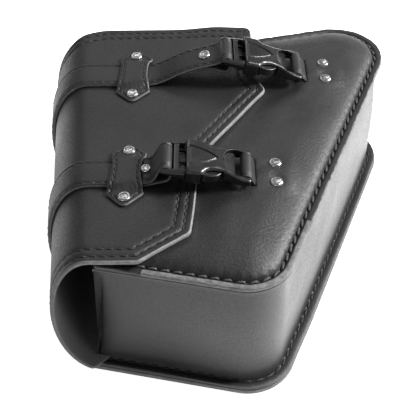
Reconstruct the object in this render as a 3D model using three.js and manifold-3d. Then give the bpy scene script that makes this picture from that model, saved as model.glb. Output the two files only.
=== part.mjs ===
// Leather side bag for a motorcycle: a stiff body, a curved flap and two straps with
// side-release buckles. Millimetres, +Z away from the machine, -X is up in use.
import * as THREE from 'three'
import Module from 'manifold-3d'
import { mergeVertices } from 'three/addons/utils/BufferGeometryUtils.js'

const wasm = await Module()
wasm.setup()

// ---- driving dimensions ----
const gap = 0.3              // clearance between pieces that touch
const leather = 3            // flap and gusset leather
const rimTop = 105           // height of the front rim
const backThick = 4
const mouthLean = 0.099      // the mouth runs this much to -X for each +Y
const rimStep = 3            // the back rim stands out by this much past the front rim
const wallInset = 4.5        // from the front rim to the gusset wall
const flangeWidth = 6
const domeWidth = 20
const domeTop = 109.4
const skin = 2.4             // front leather
const cornerNear = 30        // corner radii of the outline
const cornerFar = 36.3
const flapBottom = domeTop + gap
const flapTop = flapBottom + leather
const spineHalfX = 30        // half axes of the curved spine, outer face
const spineLow = 4.3
const spineHalfZ = (flapTop - spineLow) / 2
const spineMidZ = (flapTop + spineLow) / 2
const flapNear = -111        // ends of the flap along Y
const flapFar = 140
const hingeAngle = -45.3     // where the spine folds when the flap opens, degrees on its curve
const strapWidth = 25
const strapThick = 2.4
const strapFace = flapTop + gap
const keeperThick = 1.8
const keeperLift = strapThick + gap
const keeperPitch = 23.15    // half the distance between a keeper's rivets
const capRadius = 4.5
const shankRadius = 1.6
const endBarX = 40.8         // socket's end bar, along the buckle from its mouth
const endBarZ = 117.6
const socketLength = 43.5
const socketHalf = 16.5
const strapHalf = strapWidth / 2
const slotHalf = 12.9        // half width of the slots the straps pass through
const foldBarX = -12.95      // tongue's outer bar, where the tail folds back
const foldBarRadius = 1.85
const armPivot = -5
const armOffset = 10.5
const armHeadHalf = 16.1
const eyeletHole = 4

// one entry per strap: yaw turns the buckle line, tilt points the socket's closed end down,
// mouthX is the socket's mouth, `over` and `under` are the two layers of the tail as [x, z]
// from the mouth, and the tail's rivet sits at rivetAt with its cap turned up by rivetSlope
const lines = [
  {
    name: 'near', y: -31.7, keeperX: -52.2, mouthX: -12.8, yaw: 1.4, tilt: 10.5,
    over: [[-28.2, 116.7], [-23.8, 117.2], [-20.6, 120], [-18.2, 124.6], [-15.4, 128.9]],
    under: [[-30.2, 114.2], [-26.1, 114.4], [-20, 116], [-14, 117.4], [-10.8, 119.4], [-9.9, 123.4]],
    rivetAt: [-26.4, 118.2], rivetSlope: 0, rivetRadius: 3.5
  },
  {
    name: 'far', y: 78, keeperX: -54.5, mouthX: 25.9, yaw: 2.4, tilt: 17,
    over: [[-71.2, 114.2], [-68, 114.3], [-62, 115.8], [-56, 118.4], [-46, 123.6], [-36, 127], [-28.3,
      128.9],
      [-20, 131], [-15.2, 134.4]],
    under: [[-42, 122.8], [-35, 125], [-28.3, 126.6], [-22, 126.4], [-17, 124.7], [-13.4, 123.8],
      [-10.8, 126],
      [-10.8, 130]],
    rivetAt: [-28.3, 130.5], rivetSlope: 14, rivetRadius: 4.5
  }
]

const blackLeather = { color: 0x232325, roughness: 0.48, metalness: 0 }
const strapLeather = { color: 0x1f1f21, roughness: 0.55, metalness: 0 }
const darkBoard = { color: 0x1a1a1b, roughness: 0.8, metalness: 0 }
const foam = { color: 0x3a3a3c, roughness: 0.95, metalness: 0 }
const plastic = { color: 0x161617, roughness: 0.42, metalness: 0 }
const steel = { color: 0xc9cacc, roughness: 0.22, metalness: 1 }

const group = new THREE.Group()
group.name = 'side_bag'

// ---- helpers ----
const v2 = (x, y) => new THREE.Vector2(x, y)
const rad = THREE.MathUtils.degToRad

function toSolid(geometry) {
  const clean = new THREE.BufferGeometry()
  clean.setAttribute('position', geometry.getAttribute('position'))
  if (geometry.index) clean.setIndex(geometry.index)
  const merged = mergeVertices(clean, 1e-4)
  const mesh = new wasm.Mesh({
    numProp: 3,
    vertProperties: new Float32Array(merged.getAttribute('position').array),
    triVerts: new Uint32Array(merged.index.array)
  })
  return new wasm.Manifold(mesh)
}

function toGeometry(manifold) {
  const mesh = manifold.getMesh()
  const indexed = new THREE.BufferGeometry()
  indexed.setAttribute('position', new THREE.BufferAttribute(new Float32Array(mesh.vertProperties), 3))
  indexed.setIndex(new THREE.BufferAttribute(new Uint32Array(mesh.triVerts), 1))
  const flat = indexed.toNonIndexed()
  flat.computeVertexNormals()
  return flat
}

function addPiece(name, solid, look) {
  const mesh = new THREE.Mesh(toGeometry(solid), new THREE.MeshStandardMaterial(look))
  mesh.name = name
  group.add(mesh)
}

// closed outline through corners [x, y, radius], arcs cut into `steps`
function rounded(corners, steps = 6) {
  const out = []
  const n = corners.length
  corners.forEach(([x, y, r], i) => {
    const p = v2(x, y)
    const before = v2(...corners[(i + n - 1) % n]).sub(p).normalize()
    const after = v2(...corners[(i + 1) % n]).sub(p).normalize()
    if (!r) {
      out.push(p)
      return
    }
    const half = Math.acos(THREE.MathUtils.clamp(before.dot(after), -1, 1)) / 2
    const middle = before.clone().add(after).normalize()
    const centre = p.clone().addScaledVector(middle, r / Math.sin(half))
    const start = p.clone().addScaledVector(before, r / Math.tan(half)).sub(centre)
    const end = p.clone().addScaledVector(after, r / Math.tan(half)).sub(centre)
    let turn = end.angle() - start.angle()
    if (turn > Math.PI) turn -= 2 * Math.PI
    if (turn < -Math.PI) turn += 2 * Math.PI
    for (let k = 0; k <= steps; k++) {
      const a = start.angle() + turn * k / steps
      out.push(v2(centre.x + r * Math.cos(a), centre.y + r * Math.sin(a)))
    }
  })
  return out
}

// prism of an outline in XY from z = low to z = high
function prism(points, low, high, holes = []) {
  const shape = new THREE.Shape(points)
  shape.holes = holes.map(h => new THREE.Path(h))
  const geometry = new THREE.ExtrudeGeometry(shape, { depth: high - low, bevelEnabled: false,
    curveSegments: 12 })
  geometry.translate(0, 0, low)
  return toSolid(geometry)
}

// prism of an outline in XZ from y = near to y = far; it moves by -lean per unit of Y past `from`
function sidePrism(points, near, far, lean = 0, from = 0) {
  const shape = new THREE.Shape(points)
  const geometry = new THREE.ExtrudeGeometry(shape, { depth: far - near, bevelEnabled: false })
  const place = new THREE.Matrix4().set(
    1, 0, lean, -lean * (far - from),
    0, 0, -1, far,
    0, 1, 0, 0,
    0, 0, 0, 1)
  geometry.applyMatrix4(place)
  return toSolid(geometry)
}

function box(x0, x1, y0, y1, z0, z1) {
  return toSolid(new THREE.BoxGeometry(x1 - x0, y1 - y0, z1 - z0)
    .translate((x0 + x1) / 2, (y0 + y1) / 2, (z0 + z1) / 2))
}

function rod(x, y, z0, z1, r, sides = 16) {
  return toSolid(new THREE.CylinderGeometry(r, r, z1 - z0, sides)
    .rotateX(Math.PI / 2).translate(x, y, (z0 + z1) / 2))
}

// closed solid through stacked outlines of equal length, capped at both ends
function loft(rings) {
  const count = rings[0].length
  const positions = rings.flat().flatMap(p => [p.x, p.y, p.z])
  const index = []
  for (let r = 0; r < rings.length - 1; r++) {
    for (let i = 0; i < count; i++) {
      const a = r * count + i
      const b = r * count + (i + 1) % count
      index.push(a, b, b + count, a, b + count, a + count)
    }
  }
  const cap = THREE.ShapeUtils.triangulateShape(rings[0].map(p => v2(p.x, p.y)), [])
  const last = (rings.length - 1) * count
  const capEnd = THREE.ShapeUtils.triangulateShape(rings[rings.length - 1].map(p => v2(p.x, p.y)), [])
  cap.forEach(([a, b, c]) => index.push(a, c, b))
  capEnd.forEach(([a, b, c]) => index.push(last + a, last + b, last + c))
  const geometry = new THREE.BufferGeometry()
  geometry.setAttribute('position', new THREE.Float32BufferAttribute(positions, 3))
  geometry.setIndex(index)
  return toSolid(geometry)
}

// band of leather of even thickness that follows a centre line
function band(path, thick) {
  const left = []
  const right = []
  path.forEach((p, i) => {
    const a = path[Math.max(i - 1, 0)]
    const b = path[Math.min(i + 1, path.length - 1)]
    const side = b.clone().sub(a).normalize().rotateAround(v2(0, 0), Math.PI / 2)
    left.push(p.clone().addScaledVector(side, thick / 2))
    right.push(p.clone().addScaledVector(side, -thick / 2))
  })
  return right.concat(left.reverse())
}

const smooth = (pairs, steps) =>
  new THREE.SplineCurve(pairs.map(p => v2(...p))).getPoints(steps)

function circle(x, y, r, sides = 20) {
  const out = []
  for (let k = 0; k < sides; k++) {
    const a = 2 * Math.PI * k / sides
    out.push(v2(x + r * Math.cos(a), y + r * Math.sin(a)))
  }
  return out
}

// ---- outline of the body, counter-clockwise, moved in by `inset` ----
const edges = [
  { at: [-54.9, -110.1], dir: [1, -0.21] },
  { at: [64.3, -83.8], dir: [0.355, 1] },
  { at: [85.8, 149.3], dir: [-1, -0.246] },
  { at: [32, 136.1], dir: [-131, -12] }
]
function bodyOutline(inset, mouthX, steps = 8) {
  const sides = edges.map(e => {
    const d = v2(...e.dir).normalize()
    return { p: v2(e.at[0] - d.y * inset, e.at[1] + d.x * inset), d }
  })
  sides.push({ p: v2(mouthX, -105.5), d: v2(mouthLean, -1).normalize() })
  const meet = (a, b) => {
    const t = b.p.clone().sub(a.p).cross(b.d) / a.d.cross(b.d)
    return a.p.clone().addScaledVector(a.d, t)
  }
  const radii = [3, cornerNear - inset, cornerFar - inset, 120 + inset, 3]
  const corners = sides.map((s, i) => {
    const c = meet(sides[(i + 4) % 5], s)
    return [c.x, c.y, radii[i]]
  })
  return rounded(corners, steps)
}
const ring = (inset, mouthX, z) => bodyOutline(inset, mouthX).map(p => new THREE.Vector3(p.x, p.y, z))

// ---- spine curve in XZ: angle -90 at the back panel, +90 where the flap turns flat ----
const spineX = -70
function spinePoint(angle, out) {
  const c = Math.cos(rad(angle))
  const s = Math.sin(rad(angle))
  const normal = v2(-c / spineHalfX, s / spineHalfZ).normalize()
  return v2(spineX - spineHalfX * c, spineMidZ + spineHalfZ * s).addScaledVector(normal, out)
}
function spineBand(from, to, inner, outer, steps, flatX) {
  const a = []
  const b = []
  for (let k = 0; k <= steps; k++) {
    const angle = from + (to - from) * k / steps
    a.push(spinePoint(angle, outer))
    b.push(spinePoint(angle, inner))
  }
  if (to === 90) {
    a.push(v2(flatX, flapTop + outer))
    b.push(v2(flatX, flapTop + inner))
  }
  if (from === -90) {
    a.unshift(v2(flatX, spineLow - outer))
    b.unshift(v2(flatX, spineLow - inner))
  }
  return a.reverse().concat(b)
}

// frame of one buckle: its own X runs from the mouth to the closed end
function buckleFrame(line) {
  return new THREE.Matrix4()
    .makeTranslation(line.mouthX, line.mouthY, line.mouthZ)
    .multiply(new THREE.Matrix4().makeRotationZ(rad(line.yaw)))
    .multiply(new THREE.Matrix4().makeRotationY(rad(line.tilt)))
}
// upright frame of one strap line: turned by the yaw only, its X is 0 at the mouth
function lineFrame(line) {
  return new THREE.Matrix4()
    .makeTranslation(line.mouthX, line.mouthY, 0)
    .multiply(new THREE.Matrix4().makeRotationZ(rad(line.yaw)))
}
lines.forEach(line => {
  line.mouthY = line.y + (line.mouthX - line.keeperX) * Math.tan(rad(line.yaw))
  line.mouthZ = endBarZ + endBarX * Math.sin(rad(line.tilt))
})
const placed = (solid, matrix) => solid.transform(matrix.elements)
function inLine(line, x, y) {
  const p = new THREE.Vector3(x, y, 0).applyMatrix4(lineFrame(line))
  return [p.x, p.y]
}

// cap rivet with a dimple in its crown and a shank below
function rivet(x, y, z, depth, radius = capRadius) {
  const profile = [
    v2(0, z - depth),
    v2(shankRadius, z - depth),
    v2(shankRadius, z),
    v2(radius, z),
    v2(radius, z + 0.5),
    v2(radius * 0.86, z + 1.5),
    v2(radius * 0.56, z + 2.2),
    v2(radius * 0.28, z + 2.1),
    v2(0, z + 1.6)
  ]
  return toSolid(new THREE.LatheGeometry(profile, 20).rotateX(Math.PI / 2).translate(x, y, 0))
}
const hole = (x, y, z0, z1) => rod(x, y, z0, z1, shankRadius + 0.25, 16)

// ---- body of the bag ----
// everything on the +X side of the slanted mouth
const mouthTilt = 10 / rimTop
const mouthCut = sidePrism(
  [v2(-200, -20), v2(-79.5 - 20 * mouthTilt, -20), v2(-79.5 + 130 * mouthTilt, 130), v2(-200, 130)],
  -200, 200, mouthLean, -105.5)

let eyelets = [[-46, -86], [-46, 96], [42, -84], [88, 96]]
let backPanel = prism(bodyOutline(-rimStep, -82), 0, backThick)
let backBoard = prism(bodyOutline(wallInset + leather + 0.8, -56), backThick + gap, backThick + gap + 2)
eyelets.forEach(([x, y], i) => {
  const bore = rod(x, y, -1, 12, eyeletHole + 1.3, 24)
  backPanel = backPanel.subtract(bore)
  backBoard = backBoard.subtract(bore)
  const z = backThick + gap + 2 + 0.05
  const profile = [
    v2(eyeletHole, 0.3), v2(eyeletHole + 1, 0.3), v2(eyeletHole + 1, z), v2(eyeletHole + 4, z),
    v2(eyeletHole + 4, z + 0.5), v2(eyeletHole + 2.4, z + 1.1), v2(eyeletHole, z + 1.1), v2(eyeletHole,
      0.3)
  ]
  const eyelet = toSolid(new THREE.LatheGeometry(profile, 24).rotateX(Math.PI / 2).translate(x, y, 0))
  addPiece(`eyelet_${i + 1}`, eyelet, steel)
})
addPiece('back_panel', backPanel, blackLeather)
addPiece('back_board', backBoard, darkBoard)

// gusset: an upright wall with a lip turned out along both edges
const low = backThick + gap
const high = rimTop - leather - gap
const far = -150
function openBand(outerInset, innerInset, z0, z1) {
  return prism(bodyOutline(outerInset, far), z0, z1)
    .subtract(prism(bodyOutline(innerInset, far - 30), z0 - 1, z1 + 1))
}
const gusset = openBand(wallInset, wallInset + leather, low, high)
  .add(openBand(0.4 - rimStep, wallInset + 1, low, low + 2))
  .add(openBand(0.4, wallInset + 1, high - 2, high))
  .subtract(mouthCut)
addPiece('gusset', gusset, blackLeather)

// front panel: flange, rolled edge and flat crown, hollow underneath
const panelX = -68.5
function domeRings(rise, inner, z0) {
  const out = []
  const steps = 5
  for (let k = 0; k <= steps; k++) {
    const a = Math.PI / 2 * k / steps
    out.push(ring(inner + domeWidth * (1 - Math.cos(a)), panelX, z0 + rise * Math.sin(a)))
  }
  return out
}
const outside = domeRings(domeTop - rimTop, flangeWidth, rimTop)
const inside = domeRings(domeTop - rimTop, flangeWidth + 2.4, rimTop - skin)
let frontPanel = loft([
  ...inside.slice().reverse(),
  ring(flangeWidth + 2.4, panelX, rimTop - leather),
  ring(0, panelX, rimTop - leather),
  ring(0, panelX, rimTop),
  ...outside
])
let frontPad = loft(domeRings(domeTop - rimTop - 0.2, flangeWidth + 3.2, rimTop - leather).map(
  r => r.map(p => new THREE.Vector3(p.x, p.y, p.z - gap))))
const tongueTop = domeTop - skin - gap
const tongueThick = 3.2
lines.forEach(line => {
  const place = lineFrame(line)
  const bump = rounded([[44, -19, 8], [70, -19, 8], [70, 19, 8], [44, 19, 8]], 4)
  const bumpRings = [[0, domeTop - 1], [0, domeTop], [1.5, domeTop + 1.6], [4, domeTop + 2.4]].map(([d,
    z]) =>
    bump.map(p => new THREE.Vector3(57 + (p.x - 57) * (1 - d / 13), p.y * (1 - d / 19), z)))
  const slit = rounded([[43.8, -13.3, 1], [52.4, -13.3, 1], [52.4, 13.3, 1], [43.8, 13.3, 1]], 2)
  frontPanel = frontPanel.add(placed(loft(bumpRings), place))
  frontPanel = frontPanel.subtract(placed(prism(slit, 100, 120), place))
  frontPad = frontPad.subtract(placed(box(43.3, 67, -13.3, 13.3, tongueTop - tongueThick - gap, 120),
    place))
})
const frontBoard = prism(bodyOutline(wallInset + leather + 0.8, -67), high - 2.2, high)

// flap root: the flap's leather below the fold, sewn to the back panel
const spinePrism = (points, near, farEnd) => sidePrism(points, near, farEnd, mouthLean, flapNear)
const rootWide = spinePrism(spineBand(-90, hingeAngle - 0.25, -leather, 0, 6, -60), flapNear, flapFar)
const rootTrim = prism(bodyOutline(wallInset + leather + 0.6, far), -5, 60)
const beyondMouth = spinePrism([v2(-200, -5), v2(-79.2, -5), v2(-79.2, 60), v2(-200, 60)],
  flapNear - 5, flapFar + 5)
addPiece('flap_root', rootWide.intersect(rootTrim.add(beyondMouth)), blackLeather)

// flap: curved spine and flat front with a stepped free edge
const lineX = y => spineX - mouthLean * (y - flapNear)
const flapOutline = rounded([
  [lineX(flapNear), flapNear, 0],
  [-39.6, flapNear, 7],
  [-8.6, -85.8, 7],
  [-4.6, -38.6, 6],
  [-3.4, -12.5, 9],
  [42.6, 61.5, 7],
  [34.4, 80, 9],
  [31.1, flapFar, 6],
  [lineX(flapFar), flapFar, 0]
], 5)
const flapSpine = spinePrism(spineBand(hingeAngle + 0.25, 90, -leather, 0, 18, spineX + 1.5), flapNear,
  flapFar)
let flap = prism(flapOutline, flapBottom, flapTop).add(flapSpine)

// ---- straps, keepers and rivets on the flap ----
function hourglass() {
  const out = []
  const corner = [[0, 31], [12.3, 26]]
  const quarter = []
  for (let k = 0; k <= 4; k++) {
    const t = k / 4
    const x = corner[1][0] * t
    quarter.push([x, corner[0][1] - (corner[0][1] - corner[1][1]) * (1.35 * t - 0.35 * t * t)])
  }
  for (let k = 1; k <= 5; k++) {
    const t = k / 5
    quarter.push([12.3 - 2 * Math.sin(t * Math.PI / 2), 26 * (1 - t)])
  }
  quarter.forEach(([x, y]) => out.push(v2(x, y)))
  quarter.slice(0, -1).reverse().forEach(([x, y]) => out.push(v2(x, -y)))
  quarter.slice(1).forEach(([x, y]) => out.push(v2(-x, -y)))
  quarter.slice(1, -1).reverse().forEach(([x, y]) => out.push(v2(-x, y)))
  return out.reverse()
}

lines.forEach(line => {
  const y = line.y
  const lineAtY = -mouthLean * (y - flapNear)
  const strapEnd = line.keeperX + 8.6
  const wrap = spineBand(hingeAngle + 2, 90, gap, gap + strapThick, 18, strapEnd - lineAtY + 3)
  const strap = spinePrism(wrap, y - strapHalf, y + strapHalf)
  addPiece(`${line.name}_strap`, strap.subtract(box(strapEnd, strapEnd + 9, y - 20, y + 20, 100, 130)),
    strapLeather)

  const z0 = strapFace
  const z1 = z0 + keeperThick
  const side = [
    v2(-32, z0), v2(-15.2, z0), v2(-13, z0 + keeperLift), v2(13, z0 + keeperLift), v2(15.2, z0), v2(32,
      z0),
    v2(32, z1), v2(15.6, z1), v2(13.6, z1 + keeperLift), v2(-13.6, z1 + keeperLift), v2(-15.6, z1), v2(-32, z1)
  ]
  const across = sidePrism(side, -14, 14).rotate([0, 0, 90]).translate([line.keeperX, y, 0])
  let keeper = prism(hourglass().map(p => v2(p.x + line.keeperX, p.y + y)), z0 - 5,
    z0 + 12).intersect(across)
  ;[-1, 1].forEach((s, i) => {
    const ry = y + s * keeperPitch
    keeper = keeper.subtract(hole(line.keeperX, ry, 90, 140))
    flap = flap.subtract(hole(line.keeperX, ry, 90, 140))
    const stud = rivet(line.keeperX, ry, z1 + 0.1, keeperThick + 2.4)
    addPiece(`${line.name}_keeper_rivet_${i + 1}`, stud, steel)
  })
  addPiece(`${line.name}_keeper`, keeper, strapLeather)
})
addPiece('flap', flap, blackLeather)

// ---- buckles ----
function mirrored(half) {
  return half.concat(half.slice().reverse().map(p => v2(p.x, -p.y)))
}
function femaleSolid() {
  const waist = smooth([[10.5, -socketHalf], [11.6, -14.8], [14, -12.6], [19, -11.3], [25, -11.6], [30,
    -12.7],
    [34, -14.2], [37, -15.6], [39.5, -16.3]], 20)
  const plan = mirrored([v2(0, -socketHalf + 0.8), v2(0.8, -socketHalf), ...waist,
    v2(socketLength - 1.6, -socketHalf + 0.3), v2(socketLength - 0.4, -socketHalf + 1.2), v2(socketLength, -14)])
  const top = []
  for (let k = 0; k <= 8; k++) {
    const t = k / 8
    top.push(v2(20 + 18 * t, 5.75 - 3.25 * t * t * (3 - 2 * t)))
  }
  const profile = [v2(-1, 5.1), v2(0.6, 5.6), v2(1.4, 5.75), ...top, v2(socketLength - 1.2, 2.4),
    v2(socketLength + 1, 0.6)]
  const closed = profile.concat(profile.slice().reverse().map(p => v2(p.x, -p.y)))
  let solid = prism(plan, -10, 10).intersect(sidePrism(closed.reverse(), -30, 30))
  solid = solid.subtract(box(-1, 25.2, -13.9, 13.9, -3.6, 3.6))
  const window = [v2(9.5, 11), v2(25.2, 11), v2(25.2, 18), v2(9.5, 18)]
  const mirror = window.map(p => v2(p.x, -p.y)).reverse()
  solid = solid.subtract(prism(window, -3.3, 3.3)).subtract(prism(mirror, -3.3, 3.3))

  // slot for the strap, the ramp that leads into it, and the slender bar behind it
  solid = solid.subtract(box(33.5, endBarX - 1.9, -slotHalf, slotHalf, -10, 10))
  solid = solid.subtract(box(endBarX + 1.9, 60, -slotHalf, slotHalf, -10, 10))
  solid = solid.subtract(box(33.5, 60, -slotHalf, slotHalf, 2, 10)).subtract(box(33.5, 60, -slotHalf,
    slotHalf, -10, -2))
  const recess = []
  for (let k = 0; k <= 12; k++) {
    const a = Math.PI / 2 + Math.PI * k / 12
    recess.push(v2(33.6 + 6.8 * Math.cos(a), slotHalf * Math.sin(a)))
  }
  const ramp = sidePrism([v2(26.7, 3.6), v2(33.6, -0.4), v2(33.6, 10), v2(26.7, 10)], -20, 20)
  solid = solid.subtract(prism(recess, -10, 10).intersect(ramp))

  // shallow thumb relief, pointed away from the mouth, with a raised field inside it
  const thumb = smooth([[1.8, -9.4], [8, -8.4], [14, -6.2], [19, -2.6], [21.4, 0], [19, 2.6], [14,
    6.2], [8, 8.4],
    [1.8, 9.4]], 16)
  const field = thumb.map(p => v2(3.6 + (p.x - 3.6) * 0.82, p.y * 0.78))
  return solid.subtract(prism(thumb, 5.2, 9)).add(prism(field, 5, 5.7))
}
function maleSolid() {
  const plan = mirrored([v2(-16.6, -13.4), v2(-16.1, -14.8), v2(-14.6, -15.6), v2(-8, -16.2), v2(-3,
    -socketHalf),
    v2(-1.2, -socketHalf), v2(-0.5, -socketHalf + 0.7)])
  const profile = [v2(-18, 1.2), v2(-16, 2.3), v2(-13, 3), v2(-8, 3.6), v2(-3, 4.3), v2(-0.4, 4.6)]
  const closed = profile.concat(profile.slice().reverse().map(p => v2(p.x, -p.y)))
  let solid = prism(plan, -8, 8).intersect(sidePrism(closed.reverse(), -30, 30))
  solid = solid.subtract(box(-20, -8.2, -slotHalf, slotHalf, -8, 8))
  solid = solid.subtract(box(-2.2, 1, -slotHalf, slotHalf, -8, 8))
  solid = solid.add(sidePrism([v2(-6, -2.4), v2(21, -2.4), v2(22.6, -1.2), v2(22.6, 1.2), v2(21, 2.4),
    v2(-6, 2.4)],
    -2.6, 2.6))
  ;[-1, 1].forEach(s => {
    const y = s * armOffset
    const swing = [v2(armPivot, y - 2.2), v2(1, y - 3), v2(1, y + 2.2), v2(armPivot, y + 2.2)]
    const opening = s > 0 ? swing : [v2(armPivot, y - 2.2), v2(1, y - 2.2), v2(1, y + 3), v2(armPivot,
      y + 2.2)]
    solid = solid.subtract(rod(armPivot, y, -2.6, 2.6, 2.4, 20)).subtract(prism(opening, -2.6, 2.6))
  })
  return solid.add(sidePrism(circle(foldBarX, 0, foldBarRadius, 16), -slotHalf - 0.6, slotHalf + 0.6))
}
// one sprung arm: knuckle, thin beam and the head that shows in the side opening
function armSolid(s) {
  const outer = []
  for (let k = 0; k <= 8; k++) {
    const t = k / 8
    outer.push(v2(10.4 + 11.8 * t, 13.4 + (armHeadHalf - 13.4) * Math.sin(Math.PI * Math.min(1,
      0.12 + t * 0.88)) ** 0.7))
  }
  const catchFace = [v2(9.9, 9), v2(16, 8.6), v2(22.8, 9.2), v2(24, 10.4), v2(23.6, 12)]
  const head = [...catchFace, ...outer.reverse(), v2(9.9, 11.8)]
  const beam = [v2(armPivot, 9.3), v2(8, 9.1), v2(12, 9), v2(12, 11.8), v2(armPivot, 11.8)]
  const side = shape => s > 0 ? shape : shape.map(p => v2(p.x, -p.y)).reverse()
  return prism(side(head), -2.9, 2.9).add(prism(side(beam), -2.2, 2.2))
    .add(rod(armPivot, s * armOffset, -2.2, 2.2, 2, 20))
}

lines.forEach(line => {
  const name = line.name
  const frame = buckleFrame(line)
  const upright = lineFrame(line)
  addPiece(`${name}_female`, placed(femaleSolid(), frame), plastic)
  addPiece(`${name}_male`, placed(maleSolid(), frame), plastic)
  ;[-1, 1].forEach((s, i) => addPiece(`${name}_arm_${i + 1}`, placed(armSolid(s), frame), plastic))

  // anchor strap: a loop round the socket's end bar, then down through the slit
  const tilt = rad(line.tilt)
  const barX = endBarX * Math.cos(tilt)
  const mid = tongueTop - tongueThick / 2
  const stem = band(smooth([[barX + 2.6, endBarZ - 2.6], [45.6, 112.4], [46.2, 109.6], [48.2, 106.6],
    [52.4, mid]], 14)
    .concat([v2(66, mid)]), tongueThick)
  let anchor = sidePrism(circle(barX, endBarZ, 4.7, 24), -strapHalf, strapHalf)
    .add(sidePrism(stem, -strapHalf, strapHalf))
    .subtract(sidePrism(circle(barX, endBarZ, 3, 24), -20, 20))
  anchor = placed(anchor, upright)
  ;[-1, 1].forEach((s, i) => {
    const [x, y] = inLine(line, 59.9, s * 9.6)
    anchor = anchor.subtract(hole(x, y, 90, 130))
    frontPanel = frontPanel.subtract(hole(x, y, 90, 130))
    addPiece(`${name}_anchor_rivet_${i + 1}`, rivet(x, y, domeTop + 2.45, 6.6), steel)
  })
  addPiece(`${name}_anchor_strap`, anchor, strapLeather)

  // tail: from under the keeper round the tongue's outer bar and back, both layers riveted
  const foldX = foldBarX * Math.cos(tilt)
  const foldZ = line.mouthZ - foldBarX * Math.sin(tilt)
  const cap = upright.clone()
    .multiply(new THREE.Matrix4().makeTranslation(line.rivetAt[0], 0, line.rivetAt[1]))
    .multiply(new THREE.Matrix4().makeRotationY(-rad(line.rivetSlope)))
  const layer = path => sidePrism(band(smooth(path, 22), strapThick), -strapHalf, strapHalf)
  let tail = layer(line.over).add(layer(line.under))
    .add(sidePrism(circle(foldX, foldZ, 4.1, 24), -strapHalf, strapHalf))
  tail = placed(tail.subtract(sidePrism(circle(foldX, foldZ, 2.2, 24), -20, 20)), upright)
    .subtract(placed(rod(0, 0, -2.6, 1, shankRadius + 0.25), cap))
    .subtract(placed(rod(0, 0, -0.1, 9, line.rivetRadius + 0.3, 24), cap))
  addPiece(`${name}_tail`, tail, strapLeather)
  addPiece(`${name}_tail_rivet`, placed(rivet(0, 0, 0, 2.2, line.rivetRadius), cap), steel)
})
addPiece('front_panel', frontPanel, blackLeather)
addPiece('front_pad', frontPad, foam)
addPiece('front_board', frontBoard, darkBoard)

// origin at the middle of the footprint, on the back face
const whole = new THREE.Box3().setFromObject(group)
const centre = whole.getCenter(new THREE.Vector3())
group.children.forEach(m => m.geometry.translate(-centre.x, -centre.y, -whole.min.z))

export default group
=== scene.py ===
from math import atan2, cos, pi, radians, sin, tan

import bmesh
import bpy
import numpy as np
from numpy.linalg import norm
from mathutils import Matrix, Vector, noise


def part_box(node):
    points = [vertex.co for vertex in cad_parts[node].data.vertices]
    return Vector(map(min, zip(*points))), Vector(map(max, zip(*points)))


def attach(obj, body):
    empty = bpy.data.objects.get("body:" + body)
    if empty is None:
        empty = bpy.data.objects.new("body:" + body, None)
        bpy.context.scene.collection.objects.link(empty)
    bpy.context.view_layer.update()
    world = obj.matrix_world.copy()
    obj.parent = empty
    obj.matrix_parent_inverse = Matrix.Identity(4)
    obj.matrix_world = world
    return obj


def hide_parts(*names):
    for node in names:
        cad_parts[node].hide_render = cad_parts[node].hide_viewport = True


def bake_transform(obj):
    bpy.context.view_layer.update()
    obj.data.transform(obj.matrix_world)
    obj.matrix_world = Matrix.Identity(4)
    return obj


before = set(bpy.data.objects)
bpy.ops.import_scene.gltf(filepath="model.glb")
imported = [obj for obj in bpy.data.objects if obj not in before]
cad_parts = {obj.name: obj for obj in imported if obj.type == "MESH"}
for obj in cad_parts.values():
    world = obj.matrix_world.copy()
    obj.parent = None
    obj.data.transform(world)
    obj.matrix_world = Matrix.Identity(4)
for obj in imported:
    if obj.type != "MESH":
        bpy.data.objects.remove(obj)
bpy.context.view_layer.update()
RNG = np.random.default_rng(11)
MM = 0.001

# ---- sizes, in mm, as in the CAD source
FLAP_THICK = 3.0
FLAP_SWELL = 0.12
LEAN = 0.099
SPINE_X = -70.0
SPINE_A = 30.0
SPINE_B = 54.2
SPINE_Z = 58.5
FLAP_NEAR = -111.0
STRAP_HALF = 12.5
STITCH_SIDE = STRAP_HALF - 2.35
STRAP_GAP = 0.3
STRAP_FACE = 113.0
STRAP_THICK = 2.9
KEEPER_PITCH = 23.15
KEEPER_CAP_Z = 114.72
CAP = 4.5
END_BAR_X = 40.8
END_BAR_Z = 117.6
FOLD_BAR_X = -12.95
SLOT_HALF = 12.9
LOOP_RADIUS = 3.1
ROLL_LENGTH = 22.0
ROLL_DEPTH = 9.0
RIM_PITCH = 8.0
FLAP_PITCH = 6.5

# one strap line each. keeper, mouth: x of the keeper and of the socket's mouth; with x from the mouth,
# over, under: the tail's two layers as (x, z), rivet: its cap, hold: where the flap stops holding the tail
LINES = [
    {"name": "near", "y": -31.7, "keeper": -52.2, "mouth": -12.8, "yaw": 1.4, "tilt": 10.5,
     "over": [(-28.2, 116.7), (-23.8, 117.2), (-20.6, 120), (-18.2, 124.6), (-15.6, 129.2)],
     "under": [(-30.2, 114.2), (-26.1, 114.4), (-20, 116), (-14, 117.4), (-10.8, 119.4), (-9.6, 123.4)],
     "rivet": (-26.4, 118.25), "slope": 0.0, "cap": 3.6, "hold": -24.0, "rivet_on": "flap"},
    {"name": "far", "y": 78.0, "keeper": -54.5, "mouth": 25.9, "yaw": 2.4, "tilt": 17.0,
     "over": [(-71.2, 114.2), (-68, 114.3), (-62, 115.8), (-56, 118.4), (-46, 123.6), (-36, 127),
              (-28.3, 128.9), (-20, 131), (-15.4, 133.6)],
     "under": [(-42, 122.8), (-35, 125), (-28.3, 126.6), (-22, 126.4), (-17, 124.7), (-13.4, 123.8),
               (-10.4, 126.2)],
     "rivet": (-28.3, 130.4), "slope": 14.0, "cap": 4.5, "hold": -66.0, "rivet_on": "far_tongue"},
]
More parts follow.
